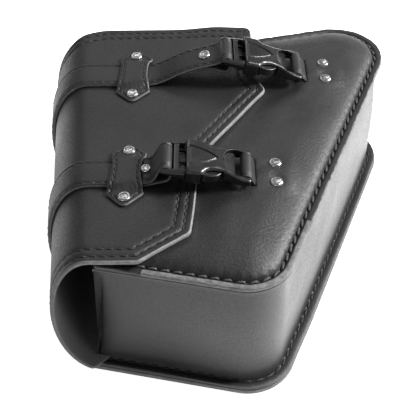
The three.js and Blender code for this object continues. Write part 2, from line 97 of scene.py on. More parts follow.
for line in LINES:
    line["mouth_y"] = line["y"] + (line["mouth"] - line["keeper"]) * tan(radians(line["yaw"]))
    line["mouth_z"] = END_BAR_Z + END_BAR_X * sin(radians(line["tilt"]))

ANCHOR_TOP = 113.9
ANCHOR_RIVET_X = 59.9
ANCHOR_RIVET_Y = 9.6
FRONT_BACK = 102.0
FRONT_FACE = 109.42
RIM_GROOVE_Z = 103.25
BACK_RIM_Z = 5.75
EYELET_HOLE = 5.3
EYELETS = [(-46, -86), (-46, 96), (42, -84), (88, 96)]

# SHIFT takes the CAD source's own frame, used in this script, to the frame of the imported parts
low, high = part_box("eyelet_1")
SHIFT = np.array([(low.x + high.x) / 2 / MM - EYELETS[0][0], (low.y + high.y) / 2 / MM - EYELETS[0][1], 0.0])


# ---- materials
def material(name):
    m = bpy.data.materials.new(name)
    m.use_nodes = True
    tree = m.node_tree
    coords = tree.nodes.new("ShaderNodeTexCoord").outputs["Object"]
    return m, tree, tree.nodes["Principled BSDF"], coords


def put(n, **values):
    """Sets a node's inputs; _ stands for a space in an input's name."""
    for key, value in values.items():
        n.inputs[key.replace("_", " ")].default_value = value
    return n


def node(tree, kind, **values):
    return put(tree.nodes.new("ShaderNode" + kind), **values)


def noise_node(tree, coords, scale, detail=2.0, rough=0.5):
    n = node(tree, "TexNoise", Scale=scale, Detail=detail, Roughness=rough)
    tree.links.new(coords, n.inputs["Vector"])
    return n.outputs["Fac"]


def spread(tree, value, low, high, start=0.35, end=0.65):
    r = node(tree, "MapRange", From_Min=start, From_Max=end, To_Min=low, To_Max=high)
    tree.links.new(value, r.inputs["Value"])
    return r.outputs["Result"]


def mixed(tree, value, first, second):
    m = node(tree, "Mix")
    m.data_type = "RGBA"
    for socket, colour in ((m.inputs["A"], first), (m.inputs["B"], second)):
        if isinstance(colour, (int, float)):
            socket.default_value = (colour, colour, colour * 1.01, 1)
        else:
            tree.links.new(colour, socket)
    tree.links.new(value, m.inputs["Factor"])
    return m.outputs["Result"]


def bumped(tree, heights, shader):
    """heights: list of (socket, distance in metres, strength), laid one over the other."""
    last = None
    for value, distance, strength in heights:
        b = node(tree, "Bump", Distance=distance, Strength=strength)
        tree.links.new(value, b.inputs["Height"])
        if last is not None:
            tree.links.new(last, b.inputs["Normal"])
        last = b.outputs["Normal"]
    tree.links.new(last, shader.inputs["Normal"])


def pointiness(tree):
    return node(tree, "NewGeometry").outputs["Pointiness"]


def coat(tree, shader, tone, gloss, heights):
    """Joins colour, roughness and bumps to the shader."""
    tree.links.new(tone, shader.inputs["Base Color"])
    tree.links.new(gloss, shader.inputs["Roughness"])
    bumped(tree, heights, shader)


def leather(name, dark, light, rough, grain=900.0, depth=0.00022, worn=0.06):
    """Smooth finished leather: pebble grain, soft creases, patchy gloss and rubbed high spots."""
    m, tree, shader, coords = material(name)
    cells = node(tree, "TexVoronoi", Scale=grain)
    cells.feature = "SMOOTH_F1"
    cells.inputs["Smoothness"].default_value = 0.6
    warp = noise_node(tree, coords, 140.0, 2.0)
    moved = node(tree, "VectorMath")
    moved.operation = "MULTIPLY_ADD"
    moved.inputs[1].default_value = (0.002, 0.002, 0.002)
    tree.links.new(warp, moved.inputs[0])
    tree.links.new(coords, moved.inputs[2])
    tree.links.new(moved.outputs["Vector"], cells.inputs["Vector"])
    patches = noise_node(tree, coords, 26.0, 4.0, 0.55)
    fine = noise_node(tree, coords, 2400.0, 2.0)
    creases = noise_node(tree, coords, 75.0, 3.0, 0.6)
    tone = mixed(tree, spread(tree, patches, 0, 1, 0.3, 0.7), dark, light)
    edges = spread(tree, pointiness(tree), 0, 0.8, 0.53, 0.62)
    tone = mixed(tree, edges, tone, worn)
    pores = noise_node(tree, coords, 1000.0, 1.0)
    tone = mixed(tree, spread(tree, pores, 0, 0.75, 0.42, 0.66), tone, dark * 0.3)
    gloss = spread(tree, patches, rough - 0.05, rough + 0.06, 0.3, 0.7)
    add = node(tree, "Math")
    add.operation = "ADD"
    tree.links.new(gloss, add.inputs[0])
    tree.links.new(spread(tree, pores, -0.05, 0.09), add.inputs[1])
    coat(tree, shader, tone, add.outputs["Value"],
         [(creases, 0.0009, 0.02), (cells.outputs["Distance"], depth, 0.36), (fine, 0.0003, 0.7)])
    put(shader, Specular_IOR_Level=0.44)
    return m


def raw_edge(name, dark, light, rough=0.8):
    """Cut edge of leather: fibres in thin layers, dyed unevenly."""
    m, tree, shader, coords = material(name)
    stretch = node(tree, "Mapping", Scale=(1, 1, 4))
    tree.links.new(coords, stretch.inputs["Vector"])
    fibres = noise_node(tree, stretch.outputs["Vector"], 420.0, 4.0, 0.7)
    blotches = noise_node(tree, coords, 160.0, 3.0)
    tone = mixed(tree, spread(tree, fibres, 0, 1, 0.3, 0.7), dark, light)
    tone = mixed(tree, spread(tree, blotches, 0, 0.55, 0.45, 0.7), tone, dark)
    coat(tree, shader, tone, spread(tree, fibres, rough - 0.1, rough + 0.1), [(fibres, 0.0006, 0.6)])
    return m


def thread(name, tone_low, tone_high):
    """Waxed sewing thread: the twist shows as fine slanted ridges, with a painted sheen in lighter slanted
    bands of colour.
    """
    m, tree, shader, coords = material(name)
    put(shader, Specular_IOR_Level=0.25)
    twist = node(tree, "TexWave", Scale=420.0, Distortion=1.5)
    twist.bands_direction = "DIAGONAL"
    tree.links.new(coords, twist.inputs["Vector"])
    # painted sheen: the colour runs from tone_low to tone_high in slanted bands along the twist
    tone = mixed(tree, twist.outputs["Fac"], tone_low, tone_high)
    coat(tree, shader, tone, spread(tree, twist.outputs["Fac"], 0.4, 0.62, 0, 1),
         [(twist.outputs["Fac"], 0.0002, 0.5)])
    return m


def moulded(name, dark, light, rough):
    """Injection-moulded nylon: fine spark texture; the convex edges are painted lighter, a painted highlight.
    """
    m, tree, shader, coords = material(name)
    spark = noise_node(tree, coords, 1900.0, 3.0, 0.6)
    flow = noise_node(tree, coords, 60.0, 3.0)
    # painted highlight: the colour goes lighter on sharp convex edges
    edges = spread(tree, pointiness(tree), 0, 1, 0.52, 0.6)
    tone = mixed(tree, spread(tree, flow, 0, 1, 0.3, 0.7), dark, light)
    tone = mixed(tree, edges, tone, light * 1.6)
    coat(tree, shader, tone, spread(tree, flow, rough - 0.05, rough + 0.06, 0.3, 0.7),
         [(flow, 0.0004, 0.1), (spark, 0.00008, 0.5)])
    return m


def plated(name, tone, rough):
    """Nickel-plated steel, a little dented and scuffed."""
    m, tree, shader, coords = material(name)
    put(shader, Metallic=1.0)
    dents = noise_node(tree, coords, 420.0, 2.0)
    scuffs = noise_node(tree, coords, 1500.0, 3.0)
    colour = mixed(tree, spread(tree, scuffs, 0, 1), tone * 0.78, tone)
    coat(tree, shader, colour, spread(tree, scuffs, rough - 0.06, rough + 0.12),
         [(dents, 0.0009, 0.5), (scuffs, 0.00006, 0.4)])
    return m


def fibreboard(name, dark, light, scale):
    """Pressed lining board or foam: open grain, no gloss."""
    m, tree, shader, coords = material(name)
    nap = noise_node(tree, coords, scale, 4.0, 0.7)
    tone = mixed(tree, spread(tree, nap, 0, 1, 0.3, 0.7), dark, light)
    coat(tree, shader, tone, spread(tree, nap, 0.82, 0.96), [(nap, 0.0004, 0.5)])
    return m


SKIN = leather("skin_leather", 0.009, 0.018, 0.42, grain=560.0, depth=0.0004)
FLAP_SKIN = leather("flap_leather", 0.006, 0.014, 0.46, grain=560.0, depth=0.0004)
WALL_SKIN = leather("wall_leather", 0.007, 0.013, 0.4, grain=760.0, depth=0.0002)
STRAP_SKIN = leather("strap_leather", 0.006, 0.013, 0.45, grain=700.0, depth=0.0003)
# flesh side of the flap's leather: lighter than the grain side, and raised further as painted fill light
# inside the flap
FLESH_WITH_PAINTED_FILL = fibreboard("flesh_side_painted_fill", 0.11, 0.19, 900.0)
# lighter copy of the raw edge for the flap's free edge: a painted highlight
EDGE_PALE_LIT = raw_edge("edge_pale_lit", 0.07, 0.25)
EDGE_GREY = raw_edge("edge_grey", 0.045, 0.17)
EDGE_DARK = raw_edge("edge_dark", 0.025, 0.075, 0.7)
THREAD = thread("thread_black", 0.006, 0.03)
# lighter copy of the black thread for the front rim's stitches: a painted highlight
THREAD_RIM_LIT = thread("thread_rim_lit", 0.012, 0.06)
NYLON = moulded("nylon", 0.006, 0.011, 0.27)
STEEL = plated("nickel", 0.46, 0.19)
BOARD = fibreboard("lining_board", 0.012, 0.022, 700.0)


# ---- mesh helpers
def add(name, data):
    obj = bpy.data.objects.new(name, data)
    bpy.context.scene.collection.objects.link(obj)
    return obj


def link_mesh(name, points, faces, materials=(), face_material=None, shift=True):
    pts = np.asarray(points, float).reshape(-1, 3)
    if shift:
        pts = pts + SHIFT
    mesh = bpy.data.meshes.new(name)
    mesh.from_pydata((pts * MM).tolist(), [], [list(map(int, f)) for f in faces])
    for m in materials:
        mesh.materials.append(m)
    if face_material is not None:
        mesh.polygons.foreach_set("material_index", np.asarray(face_material, np.int32))
    tidy_normals(mesh)
    return add(name, mesh)


def tidy_normals(mesh, merge=0.0):
    """Turns all faces outward and shades them smooth; merges points closer than `merge` metres."""
    bm = bmesh.new()
    bm.from_mesh(mesh)
    if merge:
        bmesh.ops.remove_doubles(bm, verts=bm.verts, dist=merge)
    bmesh.ops.recalc_face_normals(bm, faces=bm.faces)
    bm.to_mesh(mesh)
    bm.free()
    mesh.polygons.foreach_set("use_smooth", np.ones(len(mesh.polygons), bool))
    mesh.update()


def finish_piece(obj, body, nodes=()):
    """Attaches a piece to its body's empty and hides the CAD nodes it replaces; a piece given no body stays
    unattached.
    """
    if body:
        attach(obj, body)
    if nodes:
        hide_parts(*nodes)
    return obj


def bake(obj):
    """Applies an object's modifiers."""
    graph = bpy.context.evaluated_depsgraph_get()
    mesh = bpy.data.meshes.new_from_object(obj.evaluated_get(graph))
    obj.modifiers.clear()
    old = obj.data
    obj.data = mesh
    bpy.data.meshes.remove(old)


BOX_FACES = [(0, 3, 2, 1), (4, 5, 6, 7), (0, 1, 5, 4), (1, 2, 6, 5), (2, 3, 7, 6), (3, 0, 4, 7)]


def boolean(obj, tool, operation="DIFFERENCE"):
    m = obj.modifiers.new("cut", "BOOLEAN")
    m.operation = operation
    m.solver = "EXACT"
    m.object = tool
    bpy.context.view_layer.update()
    bake(obj)
    mesh = tool.data
    bpy.data.objects.remove(tool)
    bpy.data.meshes.remove(mesh)
    return obj


def soften(obj, voxel, rounds, factor=0.5):
    """Rounds every edge, as a moulding has."""
    m = obj.modifiers.new("remesh", "REMESH")
    m.mode = "VOXEL"
    m.voxel_size = voxel * MM
    bake(obj)
    m = obj.modifiers.new("smooth", "SMOOTH")
    m.factor = factor
    m.iterations = rounds
    bake(obj)
    obj.data.polygons.foreach_set("use_smooth", np.ones(len(obj.data.polygons), bool))
    return obj


def ease(x, a, b):
    """0 up to a, 1 from b on, smooth between."""
    t = np.clip((np.asarray(x, float) - a) / (b - a), 0, 1)
    return t * t * (3 - 2 * t)


def ripple(points, scale, seed):
    """Smooth noise from -1 to 1 at points in mm."""
    at = Vector((seed * 13.7, seed * 5.1, seed * 2.3))
    return np.array([noise.noise(Vector(p) / scale + at) for p in points]) * 1.6


class Outline:
    """Closed outline, counter-clockwise, of straight sides and rounded corners [x, y, radius],
    which can be moved in by any inset and keeps its number of points."""

    def __init__(self, corners, side_steps, arc_steps):
        self.corners = np.array([c[:2] for c in corners], float)
        self.radii = [c[2] for c in corners]
        self.side_steps = side_steps
        self.arc_steps = arc_steps
        step = np.roll(self.corners, -1, 0) - self.corners
        self.dirs = step / norm(step, axis=1)[:, None]

    def ring(self, inset):
        n = len(self.corners)
        d = self.dirs
        left = np.stack([-d[:, 1], d[:, 0]], 1)
        base = self.corners + left * inset
        arcs = []
        for i in range(n):
            a, b = (i - 1) % n, i
            cross = d[a, 0] * d[b, 1] - d[a, 1] * d[b, 0]
            t = ((base[b] - base[a])[0] * d[b, 1] - (base[b] - base[a])[1] * d[b, 0]) / cross
            corner = base[a] + d[a] * t
            turn = atan2(cross, float(d[a] @ d[b]))
            r = max(self.radii[i] - inset, 0.6) if turn > 0 else self.radii[i] + inset
            if self.radii[i] == 0:
                r = 0.01
            cut = r * tan(abs(turn) / 2)
            start = corner - d[a] * cut
            side = 1 if turn > 0 else -1
            centre = start + side * r * np.array([-d[a, 1], d[a, 0]])
            first = atan2(start[1] - centre[1], start[0] - centre[0])
            angles = first + turn * np.linspace(0, 1, self.arc_steps[i] + 1)
            arcs.append(np.stack([centre[0] + r * np.cos(angles), centre[1] + r * np.sin(angles)], 1))
        out = []
        for i in range(n):
            out.append(arcs[i])
            a, b = arcs[i][-1], arcs[(i + 1) % n][0]
            t = np.linspace(0, 1, self.side_steps[i] + 2)[1:-1, None]
            out.append(a + (b - a) * t)
        return np.concatenate(out)

    def span(self, first, last):
        """Index range from the end of corner `first`'s arc to the start of corner `last`'s."""
        at = [0]
        for i in range(len(self.corners)):
            at.append(at[-1] + self.arc_steps[i] + 1 + self.side_steps[i])
        return at[first] + self.arc_steps[first], at[last] + 1


def loft(rings, start=None, end=None, closed=True):
    """Quads between rings of equal length; start and end are centre points that close it."""
    count = len(rings[0])
    points = np.concatenate(rings)
    faces = []
    stop = count if closed else count - 1
    for r in range(len(rings) - 1):
        a = r * count
        for i in range(stop):
            j = (i + 1) % count
            faces.append((a + i, a + j, a + count + j, a + count + i))
    extra = []
    for centre, base in ((start, 0), (end, (len(rings) - 1) * count)):
        if centre is None:
            continue
        at = len(points) + len(extra)
        extra.append(centre)
        faces += [(base + i, base + (i + 1) % count, at) for i in range(count)]
    if extra:
        points = np.concatenate([points, np.array(extra, float)])
    return points, faces


def spline(points, step=1.0):
    """Smooth curve through the points, evenly spaced."""
    p = np.array(points, float)
    p = np.vstack([2 * p[0] - p[1], p, 2 * p[-1] - p[-2]])
    out = []
    for i in range(1, len(p) - 2):
        t = np.linspace(0, 1, 16, endpoint=False)[:, None]
        a, b, c, d = p[i - 1], p[i], p[i + 1], p[i + 2]
        out.append(0.5 * (2 * b + (c - a) * t + (2 * a - 5 * b + 4 * c - d) * t ** 2
                          + (3 * b - a - 3 * c + d) * t ** 3))
    out.append(p[-2][None])
    return even(np.concatenate(out), step)


def upward(path):
    return np.tile([0, 0, 1.0], (len(path), 1))


def lengths(path):
    """Distance along the path up to each of its points."""
    return np.concatenate([[0], np.cumsum(norm(np.diff(path, axis=0), axis=1))])


def even(path, step):
    path = np.asarray(path, float)
    s = lengths(path)
    n = max(int(round(s[-1] / step)), 2)
    at = np.linspace(0, s[-1], n + 1)
    return np.stack([np.interp(at, s, path[:, k]) for k in range(path.shape[1])], 1)


def outward(step):
    """Unit normals out of a counter-clockwise outline, from its steps."""
    step = step / norm(step, axis=1)[:, None]
    return np.column_stack([step[:, 1], -step[:, 0]])


def circle(x, y, z, r, sides):
    a = 2 * pi * np.arange(sides) / sides
    return np.stack([x + r * np.cos(a), y + r * np.sin(a), np.full(sides, z)], 1)


def side_normals(path):
    t = np.gradient(np.asarray(path, float), axis=0)
    t /= norm(t, axis=1)[:, None]
    return np.stack([-t[:, 1], t[:, 0]], 1)


def strap_section(half, thick, groove=0.42, layers=True):
    """Cross-section (across, up) of a stitched strap: rounded edges, two stitch channels, a layer line."""
    t = thick / 2
    top = [(-half + 0.15, t - 0.75), (-half + 0.45, t - 0.25), (-half + 1.0, t), (-half + 1.7, t),
           (-half + 2.1, t - groove), (-half + 2.6, t - groove), (-half + 3.0, t + 0.02),
           (-half + 5, t + 0.12)]
    top = top + [(0, t + 0.16)] + [(-c, u) for c, u in reversed(top)]
    notch = [(half - 0.28, 0.0)] if layers else []
    right = [(half, t - 1.0), (half, 0.2)] + notch + [(half, -0.2), (half - 0.1, -t + 0.5)]
    bottom = [(half - 0.6, -t), (half * 0.5, -t), (0, -t), (-half * 0.5, -t), (-half + 0.6, -t)]
    left = [(-c, u) for c, u in reversed(right)]
    return np.array(top + right + bottom + left)


def band(name, path, section, place, edge):
    """Strap along a path in the (x, z) plane, with its cut edges in a material of their own.
    place(x, y, z) puts its points."""
    rings = []
    for p, n in zip(path, side_normals(path)):
        up = section[:, 1]
        rings.append(place(p[0] + n[0] * up, section[:, 0], p[1] + n[1] * up))
    points, faces = loft(rings, rings[0].mean(0), rings[-1].mean(0))
    across = (section[:, 0] + np.roll(section[:, 0], -1)) / 2
    cut = (np.abs(across) > STRAP_HALF - 0.25).astype(int)
    index = np.concatenate([np.tile(cut, len(path) - 1), np.ones(2 * len(section), int)])
    return link_mesh(name, points, faces, [STRAP_SKIN, edge], index)


def stitch_row(name, path, ups, pitch, length, radius, lift=0.0, slant=0.0, trim=0.0, yarn=THREAD):
    """One mesh of arched stitches along a path in mm. slant turns each stitch off the line."""
    path, ups = np.asarray(path, float), np.asarray(ups, float)
    s = lengths(path)
    at = lambda v, q: np.array([np.interp(q, s, v[:, k]) for k in range(3)])
    points, faces = [], []
    n = int((s[-1] - 2 * trim) / pitch)
    margin = trim + (s[-1] - 2 * trim - n * pitch) / 2
    profile = [(0.0, -1.25, 0.8), (0.1, -0.1, 1.0), (0.3, 0.42, 1.0), (0.5, 0.55, 1.02), (0.7, 0.42, 1.0),
               (0.9, -0.1, 1.0), (1.0, -1.25, 0.8)]
    for k in range(n):
        s0 = margin + k * pitch + (pitch - length) / 2 + RNG.normal(0, 0.12)
        ln = length * (1 + RNG.normal(0, 0.03))
        side0 = RNG.normal(0, 0.07)
        first = len(points)
        for f, h, w in profile:
            q = s0 + f * ln
            p, u = at(path, q), at(ups, q)
            u /= norm(u)
            t = at(path, q + 0.6) - at(path, q - 0.6)
            t /= norm(t) + 1e-9
            b = np.cross(u, t)
            c = p + u * (h * radius + lift) + b * (side0 + slant * (f - 0.5))
            for a in range(6):
                ang = pi * a / 3
                points.append(c + radius * w * (b * cos(ang) + u * sin(ang) * 0.8))
        for r in range(len(profile) - 1):
            for a in range(6):
                i, j = first + r * 6 + a, first + r * 6 + (a + 1) % 6
                faces.append((i, j, j + 6, i + 6))
        faces.append(tuple(first + a for a in reversed(range(6))))
        faces.append(tuple(first + (len(profile) - 1) * 6 + a for a in range(6)))
    return link_mesh(name, points, faces, [yarn])


def strap_seams(name, path, normals, place, blend, pitch, length, radius, lift, trim):
    """Both stitch rows of a strap, above the path and its normals in the (x, z) plane."""
    for side, row in ((-1, "low"), (1, "high")):
        across = np.full(len(path), side * STITCH_SIDE)
        seam = stitch_row(f"{name}_{row}", place(path[:, 0], across, path[:, 1]),
                          np.insert(normals, 1, 0, axis=1), pitch, length, radius, lift=lift, trim=trim)
        blend(seam)


def lathe(name, profile, place, materials, sides=36):
    """Closed turned piece: profile of (radius, height) from axis to axis; place maps local points."""
    rings = [circle(0, 0, z, r, sides) for r, z in profile[1:-1]]
    points, faces = loft(rings, (0, 0, profile[0][1]), (0, 0, profile[-1][1]))
    return link_mesh(name, place(points), faces, materials)


def upright(line):
    c, s = cos(radians(line["yaw"])), sin(radians(line["yaw"]))
    def place(x, y, z):
        x, y, z = np.broadcast_arrays(*(np.asarray(v, float) for v in (x, y, z)))
        return np.stack([line["mouth"] + c * x - s * y, line["mouth_y"] + s * x + c * y, z], -1)
    return place


def local_xy(line, x, y):
    c, s = cos(radians(line["yaw"])), sin(radians(line["yaw"]))
    dx, dy = x - line["mouth"], y - line["mouth_y"]
    return c * dx + s * dy, -s * dx + c * dy


# ---- body outline
EDGES = [((-54.9, -110.1), (1, -0.21)), ((64.3, -83.8), (0.355, 1)), ((85.8, 149.3), (-1, -0.246)),
         ((32, 136.1), (-131, -12))]


def body_corners(mouth_x, mouth_radius=3.0):
    sides = [(np.array(p, float), np.array(d, float)) for p, d in EDGES + [((mouth_x, -105.5), (LEAN, -1))]]
    radii = [mouth_radius, 30.0, 36.3, 120.0, mouth_radius]
    out = []
    for i in range(5):
        (p, d), (q, e) = sides[i - 1], sides[i]
        t = ((q - p)[0] * e[1] - (q - p)[1] * e[0]) / (d[0] * e[1] - d[1] * e[0])
        x, y = p + d * t
        out.append((x, y, radii[i]))
    return out


BODY_SIDES = [40, 80, 18, 46, 80]
BODY_ARCS = [4, 16, 18, 6, 4]


def tucked(ring, z):
    """The near wall leans in a little towards its foot."""
    y = ring[:, 1] + 3.0 * ease(-ring[:, 1], 60, 108) * (1 - ease(z, 4, 75))
    return np.column_stack([ring[:, 0], y])


def with_z(ring, z):
    return np.column_stack([ring, np.broadcast_to(z, len(ring))])


# ---- front: padded leather over foam
def flap_edge_distance(x, y):
    """How far a point lies past the flap's free edge, in mm; negative under the flap."""
    edge = [(-39.6, -111), (-8.6, -85.8), (-4.6, -38.6), (-3.4, -12.5), (42.6, 61.5), (34.4, 80), (31.1, 140)]
    p = np.stack([x, y], 1)
    best = np.full(len(p), 1e9)
    for a, b in zip(edge[:-1], edge[1:]):
        a, b = np.array(a, float), np.array(b, float)
        t = np.clip(((p - a) @ (b - a)) / ((b - a) @ (b - a)), 0, 1)
        best = np.minimum(best, norm(p - a - t[:, None] * (b - a), axis=1))
    ys = np.array([e[1] for e in edge])
    xs = np.array([e[0] for e in edge])
    return np.where(x > np.interp(y, ys, xs), best, -best)


front = Outline(body_corners(-68.5), BODY_SIDES, BODY_ARCS)
FRONT_SEAM = 6.3
seam_ring = front.ring(FRONT_SEAM)
seam_s = lengths(seam_ring)


def front_height(ring, z, inset):
    x, y = ring[:, 0], ring[:, 1]
    free = ease(flap_edge_distance(x, y), 2, 26)
    deep = ease(inset, 7, 34)
    h = z + 3.4 * free * deep
    pts = with_z(ring, 0)
    h = h + deep * free * 0.45 * ripple(pts, 34.0, 1) - deep * (1 - free) * 0.15
    for line in LINES:
        lx, ly = local_xy(line, x, y)
        tongue = ease(lx, 44.5, 47.5) * (1 - ease(lx, 63, 76)) * (1 - ease(np.abs(ly), 9.5, 21))
        pulled = (1 - ease(lx, 34, 45)) * ease(lx, 20, 36) * (1 - ease(np.abs(ly), 10, 24))
        h = h + tongue * (ANCHOR_TOP - h) - 0.5 * pulled
        for side in (-1, 1):
            away = np.hypot(lx - ANCHOR_RIVET_X, ly - side * ANCHOR_RIVET_Y)
            h = h - 1.5 * tongue * np.exp(-(away / 5.4) ** 2)
        h = h + 1.5 * tongue * np.exp(-(ly / 3.6) ** 2 - ((lx - 53) / 6.5) ** 2)
    return h


rings = []
under = [(30, FRONT_BACK), (12, FRONT_BACK), (1.0, FRONT_BACK), (0.3, 102.2), (0.0, 102.7)]
over = [(0.0, 104.1), (0.25, 104.7), (0.8, 105.0), (2.2, 105.1), (3.6, 105.0), (4.5, 104.5), (5.2, 103.6),
        (5.8, 103.0), (6.6, 103.0), (7.1, 103.8), (7.7, 105.0), (8.5, 106.2), (9.8, 107.2), (11.5, 108.05),
        (13.6, 108.65), (16.2, 109.05), (19.3, 109.3), (22.8, 109.4), (26.0, FRONT_FACE)]
for inset, z in under:
    rings.append(with_z(front.ring(inset), z))
for inset, z in over:
    r = front.ring(inset)
    if inset < 0.9:
        pts = with_z(r, z)
        out = 0.5 * ripple(pts, 3.0, 4) + 0.3 * ripple(pts, 9.0, 5)
        r = r + outward(np.roll(r, -1, 0) - np.roll(r, 1, 0)) * out[:, None]
    pucker = 0.55 * np.cos(2 * pi * seam_s / RIM_PITCH) * np.exp(-((inset - 7.6) / 2.2) ** 2)
    rough = 0.24 * ripple(with_z(r, z), 3.0, 6) * (1 - ease(inset, 3.6, 5.2))
    rings.append(with_z(r, front_height(r, z, inset) + pucker + rough))
last = front.ring(26.0)
middle = np.array([8.0, 8.0])
for share in np.linspace(1, 0, 46)[1:-1]:
    r = middle + (last - middle) * share
    rings.append(with_z(r, front_height(r, FRONT_FACE, 26 + 60 * (1 - share))))
top = front_height(middle[None], FRONT_FACE, 86)[0]
points, faces = loft(rings, (*middle, FRONT_BACK), (*middle, top))
count = len(last)
index = np.zeros(len(faces), int)
near_side = (last[:, 1] < -62) & (last[:, 0] > -22)
hidden_side = (last[:, 1] < -62) & (last[:, 0] <= -22)
index[2 * count:7 * count] = np.tile(~hidden_side, 5)
for r in (7, 8):
    index[r * count:(r + 1) * count] = near_side
front_skin = link_mesh("front_skin", points, faces, [SKIN, EDGE_GREY], index)
for line in LINES:
    place = upright(line)
    corner = []
    for z, dx in ((103.2, 5.9), (116.0, 0.0)):
        for x, y in ((41.3, -13.2), (45.2, -13.2), (45.2, 13.2), (41.3, 13.2)):
            corner.append(place(x + dx, y, z))
    tool = link_mesh("slit", corner, BOX_FACES, [EDGE_DARK])
    boolean(front_skin, tool)
finish_piece(front_skin, "bag_body", ["front_panel", "front_pad"])

first, stop = front.span(0, 4)
path = seam_ring[first:stop]
# the front rim's stitches take the lighter copy of the thread, a painted highlight
row = stitch_row("front_rim_stitches", with_z(path, RIM_GROOVE_Z), upward(path), RIM_PITCH, 6.6, 1.05,
                 lift=0.3, slant=1.5, trim=2, yarn=THREAD_RIM_LIT)
finish_piece(row, "bag_body")

# ---- back: stiff panel with a rolled rim
back = Outline(body_corners(-79.0), BODY_SIDES, BODY_ARCS)
rim_steps = [(20, 0.0), (-2.2, 0.0), (-2.8, 0.25), (-3.0, 0.8), (-3.0, 3.1), (-2.8, 3.7), (-2.2, 4.0),
             (5.0, 4.0), (20, 4.0)]
rings = [with_z(tucked(back.ring(i), z), z) for i, z in rim_steps]
points, faces = loft(rings, (8, 8, 0), (8, 8, 4))
count = len(rings[0])
index = np.zeros(len(faces), int)
index[2 * count:5 * count] = 1
back_shell = link_mesh("back_shell", points, faces, [SKIN, EDGE_GREY], index)
for x, y in EYELETS:
    points, faces = loft([circle(x, y, z, EYELET_HOLE, 32) for z in (-1, 5)], (x, y, -1), (x, y, 5))
    boolean(back_shell, link_mesh("bore", points, faces, [EDGE_DARK]))
finish_piece(back_shell, "bag_body", ["back_panel"])
for i, (x, y) in enumerate(EYELETS):
    zt = 4.3 + 2 + 0.05
    profile = [(4.0, 0.35), (4.4, 0.3), (5.0, 0.3), (5.0, zt), (7.4, zt), (8.0, zt + 0.3),
               (7.6, zt + 0.75), (6.4, zt + 1.1), (5.0, zt + 1.2), (4.2, zt + 0.9), (4.0, zt + 0.4)]
    points, faces = loft([circle(x, y, z, r, 40) for r, z in profile + profile[:1]])
    eyelet = link_mesh(f"eyelet_ring_{i + 1}", points, faces, [STEEL])
    tidy_normals(eyelet.data, merge=1e-6)
    finish_piece(eyelet, "bag_body", [f"eyelet_{i + 1}"])

# ---- gusset: wall with a turned lip on each edge
section = [
    (-2.6, 4.4), (-2.7, 5.0), (-2.5, 6.0), (-1.9, 6.35), (0.5, 6.4), (2.2, 6.15), (3.0, 5.75), (3.4, 5.9),
    (3.9, 6.9), (4.3, 8.6), (4.45, 12), (3.9, 24), (3.2, 40), (2.9, 54), (3.1, 68), (3.8, 84), (4.4, 93),
    (4.4, 96.4), (3.7, 98.6), (2.7, 99.5), (1.2, 99.7), (0.6, 99.9), (0.4, 100.6), (0.6, 101.5),
    (1.2, 101.7), (5.2, 101.7), (6.6, 101.2), (7.3, 99.8), (7.5, 97), (7.4, 54), (7.5, 9), (7.2, 6),
    (6.2, 4.7), (4.6, 4.3), (-2.0, 4.3)]
grid = []
for inset, z in section:
    mouth = Outline(body_corners(-79.5 + 10 / 105 * z, 0.0), BODY_SIDES, [0, 16, 18, 6, 0])
    a, b = mouth.span(0, 4)
    r = mouth.ring(inset)[a:b]
    if 5 < z < 99:
        belly = ease(z, 5, 40) * (1 - ease(z, 70, 99))
        roll_in = 0.0
        for corner in (r[0], r[-1]):
            near_mouth = np.clip(1 - norm(r - corner, axis=1) / ROLL_LENGTH, 0, 1)
            roll_in = roll_in + belly * ROLL_DEPTH * (1 - np.sqrt(1 - near_mouth ** 2))
        out = 0.35 * ripple(with_z(r, z), 45.0, 8) - roll_in
        r = r + outward(np.gradient(r, axis=0)) * out[:, None]
    grid.append(with_z(tucked(r, z), z))
grid = np.array(grid)
count = len(section)
rings = [grid[:, i] for i in range(grid.shape[1])]
points, faces = loft(rings)
for base in (0, (len(rings) - 1) * count):
    half_count = count // 2
    faces += [(base + i, base + i + 1, base + count - 2 - i, base + count - 1 - i)
              for i in range(half_count - 1)]
index = np.zeros(len(faces), int)
for r in range(len(rings) - 1):
    index[r * count:r * count + 3] = 1
    index[r * count + count - 1] = 1
    index[r * count + 21:r * count + 24] = 1
gusset = link_mesh("gusset_skin", points, faces, [WALL_SKIN, EDGE_DARK], index)
finish_piece(gusset, "bag_body", ["gusset"])

rim = Outline(body_corners(-78.9, 0.0), BODY_SIDES, [0, 16, 18, 6, 0])
a, b = rim.span(0, 4)
path = tucked(rim.ring(2.95)[a:b], 4.0)
row = stitch_row("back_rim_stitches", with_z(path, BACK_RIM_Z), upward(path), RIM_PITCH, 6.2, 0.72,
                 lift=0.3, slant=0.6, trim=3)
finish_piece(row, "bag_body")

# ---- flap: one skin from the back panel to the free edge
angles = np.linspace(90, -90, 721)
ex = SPINE_X - SPINE_A * np.cos(np.radians(angles))
ez = SPINE_Z + SPINE_B * np.sin(np.radians(angles))
arc = np.concatenate([[0], np.cumsum(np.hypot(np.diff(ex), np.diff(ez)))])
SPINE_LENGTH = arc[-1]


def line_x(y):
    return SPINE_X - LEAN * (np.asarray(y, float) - FLAP_NEAR)


def spine_at(d, out):
    """Point (x, z) and normal at distance d before the flat front begins, raised by out."""
    d = np.asarray(d, float)
    angle = np.radians(np.interp(d, arc, angles))
    x = SPINE_X - SPINE_A * np.cos(angle)
    z = SPINE_Z + SPINE_B * np.sin(angle)
    nx, nz = -np.cos(angle) / SPINE_A, np.sin(angle) / SPINE_B
    size = np.hypot(nx, nz)
    nx, nz = nx / size, nz / size
    past = np.maximum(d - SPINE_LENGTH, 0)
    before = np.minimum(d, 0)
    return x + past - before + nx * out, z + nz * out, nx, nz


def flap_point(u, y, out):
    """u is x on the flat front and runs on round the spine."""
    y = np.asarray(y, float)
    x, z, nx, nz = spine_at(line_x(y) - u, out)
    return np.stack([x - LEAN * (y - FLAP_NEAR), y, z], -1), np.stack([nx, 0 * nx, nz], -1)


